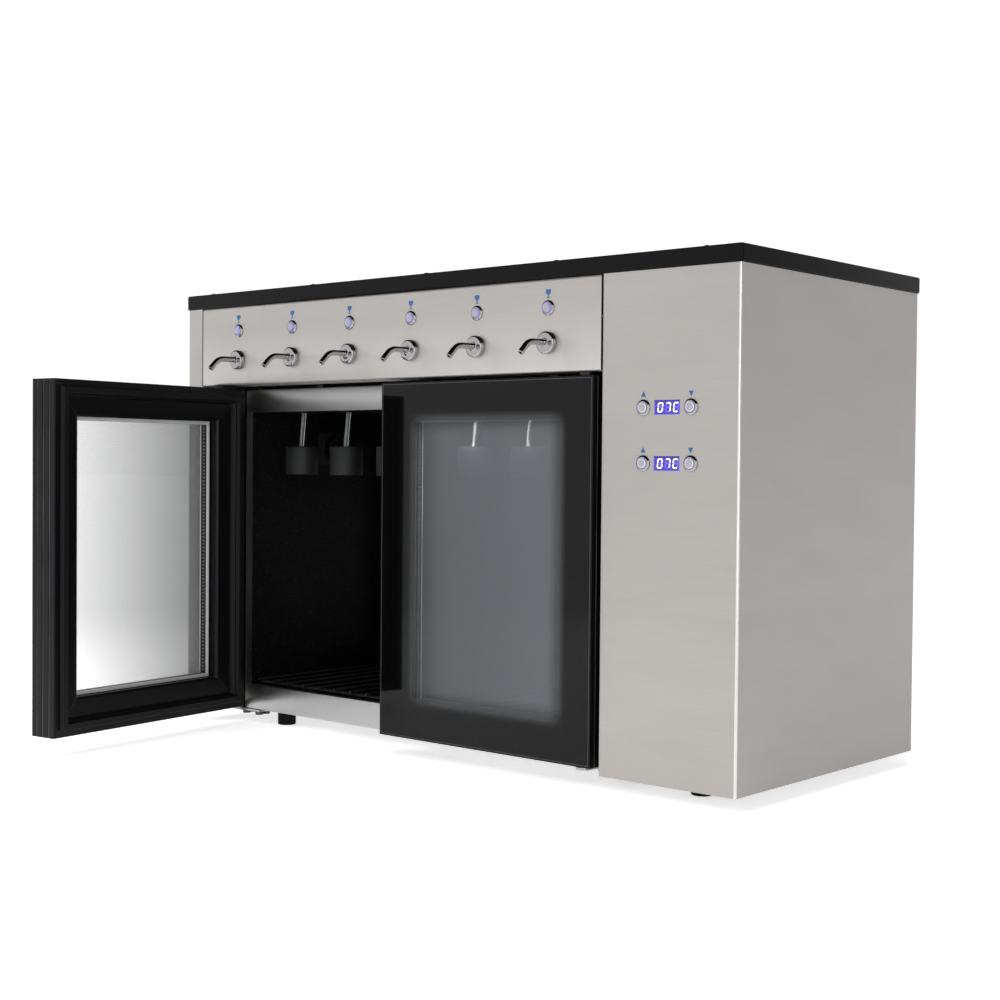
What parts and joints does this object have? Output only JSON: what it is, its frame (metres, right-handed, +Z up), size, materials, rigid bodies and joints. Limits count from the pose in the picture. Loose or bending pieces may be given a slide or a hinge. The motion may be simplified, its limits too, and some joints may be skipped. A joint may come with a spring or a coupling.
{
  "type": "wine cooler",
  "caption": "Steel countertop wine cooler and dispenser with black cover, chrome taps over glass doors, hanging bottle stoppers and a side control panel.",
  "frame": {"origin": "on the floor under the feet, in the middle of the outline with the left door open as stored", "axes": "+X towards the control panel's side, +Y to the back, +Z up; the taps and doors face -Y"},
  "size_m": [0.954, 0.7336, 0.622],
  "materials": {
    "brushed_steel": "horizontally brushed stainless steel",
    "galvanised_sheet": "dull zinc-grey sheet",
    "black_paint": "satin black",
    "dark_wire": "satin dark grey coated wire",
    "chrome": "polished",
    "black_plastic": "satin charcoal",
    "liner_plastic": "grained black",
    "insulation_foam": "rigid foam",
    "board": "green circuit board",
    "display_lens": "blue-violet lit display",
    "aluminium": "mill finish",
    "gasket_rubber": "soft black",
    "tinted_glass": "black-bordered tinted glass",
    "clear_glass": "clear"
  },
  "bodies": {
    "cabinet": {"top_cover": "black_paint", "left_side_panel": "brushed_steel", "right_side_panel": "brushed_steel", "back_panel": "galvanised_sheet", "base_plate": "black_paint", "tap_fascia": "brushed_steel", "front_frame": "brushed_steel", "insulation": "insulation_foam", "liner_left": "liner_plastic", "bottle_rack_left": "dark_wire", "evaporator_left": "aluminium", "circulation_fan_frame_left": "black_plastic", "liner_right": "liner_plastic", "bottle_rack_right": "dark_wire", "evaporator_right": "aluminium", "circulation_fan_frame_right": "black_plastic", "tap_1": "chrome", "stopper_1": "black_plastic", "tap_2": "chrome", "stopper_2": "black_plastic", "tap_3": "chrome", "stopper_3": "black_plastic", "tap_4": "chrome", "stopper_4": "black_plastic", "tap_5": "chrome", "stopper_5": "black_plastic", "tap_6": "chrome", "stopper_6": "black_plastic", "display_upper": "display_lens", "display_lower": "display_lens", "control_board": "board", "lower_hinge_left": "chrome", "upper_hinge_left": "chrome", "lower_hinge_right": "chrome", "upper_hinge_right": "chrome", "compressor": "black_paint", "condenser": "black_paint", "gas_manifold": "aluminium", "gas_regulator": "chrome"},
    "left_door": {"door_frame_left": "black_plastic", "door_glass_left": "tinted_glass", "door_inner_glass_left": "clear_glass", "door_gasket_left": "gasket_rubber"},
    "left_circulation_fan": {"circulation_fan_left": "black_plastic"},
    "right_door": {"door_frame_right": "black_plastic", "door_glass_right": "tinted_glass", "door_inner_glass_right": "clear_glass", "door_gasket_right": "gasket_rubber"},
    "right_circulation_fan": {"circulation_fan_right": "black_plastic"},
    "condenser_fan": {"condenser_fan": "black_plastic"},
    "dispense_button_1": {"dispense_button_1": "chrome"},
    "dispense_button_2": {"dispense_button_2": "chrome"},
    "dispense_button_3": {"dispense_button_3": "chrome"},
    "dispense_button_4": {"dispense_button_4": "chrome"},
    "dispense_button_5": {"dispense_button_5": "chrome"},
    "dispense_button_6": {"dispense_button_6": "chrome"},
    "up_button_upper": {"up_button_upper": "chrome"},
    "down_button_upper": {"down_button_upper": "chrome"},
    "up_button_lower": {"up_button_lower": "chrome"},
    "down_button_lower": {"down_button_lower": "chrome"}
  },
  "joints": [
    {"name": "left_door_hinge", "type": "hinge", "parent": "cabinet", "child": "left_door", "pos_m": [-0.4135, -0.03717, 0.2538], "axis": [0, 0, -1], "range_deg": [-83, 27]},
    {"name": "right_door_hinge", "type": "hinge", "parent": "cabinet", "child": "right_door", "pos_m": [0.2578, -0.03717, 0.2538], "axis": [0, 0, 1], "range_deg": [0, 110]},
    {"name": "dispense_button_1_press", "type": "slide", "parent": "cabinet", "child": "dispense_button_1", "axis": [0, 1, 0], "range_m": [0, 0.002], "stiffness_N_per_m": 400, "springref_m": -0.002},
    {"name": "dispense_button_2_press", "type": "slide", "parent": "cabinet", "child": "dispense_button_2", "axis": [0, 1, 0], "range_m": [0, 0.002], "stiffness_N_per_m": 400, "springref_m": -0.002},
    {"name": "dispense_button_3_press", "type": "slide", "parent": "cabinet", "child": "dispense_button_3", "axis": [0, 1, 0], "range_m": [0, 0.002], "stiffness_N_per_m": 400, "springref_m": -0.002},
    {"name": "dispense_button_4_press", "type": "slide", "parent": "cabinet", "child": "dispense_button_4", "axis": [0, 1, 0], "range_m": [0, 0.002], "stiffness_N_per_m": 400, "springref_m": -0.002},
    {"name": "dispense_button_5_press", "type": "slide", "parent": "cabinet", "child": "dispense_button_5", "axis": [0, 1, 0], "range_m": [0, 0.002], "stiffness_N_per_m": 400, "springref_m": -0.002},
    {"name": "dispense_button_6_press", "type": "slide", "parent": "cabinet", "child": "dispense_button_6", "axis": [0, 1, 0], "range_m": [0, 0.002], "stiffness_N_per_m": 400, "springref_m": -0.002},
    {"name": "up_button_upper_press", "type": "slide", "parent": "cabinet", "child": "up_button_upper", "axis": [0, 1, 0], "range_m": [0, 0.002], "stiffness_N_per_m": 400, "springref_m": -0.002},
    {"name": "down_button_upper_press", "type": "slide", "parent": "cabinet", "child": "down_button_upper", "axis": [0, 1, 0], "range_m": [0, 0.002], "stiffness_N_per_m": 400, "springref_m": -0.002},
    {"name": "up_button_lower_press", "type": "slide", "parent": "cabinet", "child": "up_button_lower", "axis": [0, 1, 0], "range_m": [0, 0.002], "stiffness_N_per_m": 400, "springref_m": -0.002},
    {"name": "down_button_lower_press", "type": "slide", "parent": "cabinet", "child": "down_button_lower", "axis": [0, 1, 0], "range_m": [0, 0.002], "stiffness_N_per_m": 400, "springref_m": -0.002},
    {"name": "left_circulation_fan_spin", "type": "hinge", "parent": "cabinet", "child": "left_circulation_fan", "pos_m": [-0.3937, 0.16683, 0.4], "axis": [1, 0, 0], "continuous": true},
    {"name": "right_circulation_fan_spin", "type": "hinge", "parent": "cabinet", "child": "right_circulation_fan", "pos_m": [-0.0534, 0.16683, 0.4], "axis": [1, 0, 0], "continuous": true},
    {"name": "condenser_fan_spin", "type": "hinge", "parent": "cabinet", "child": "condenser_fan", "pos_m": [0.3808, 0.28083, 0.089], "axis": [0, 1, 0], "continuous": true}
  ]
}
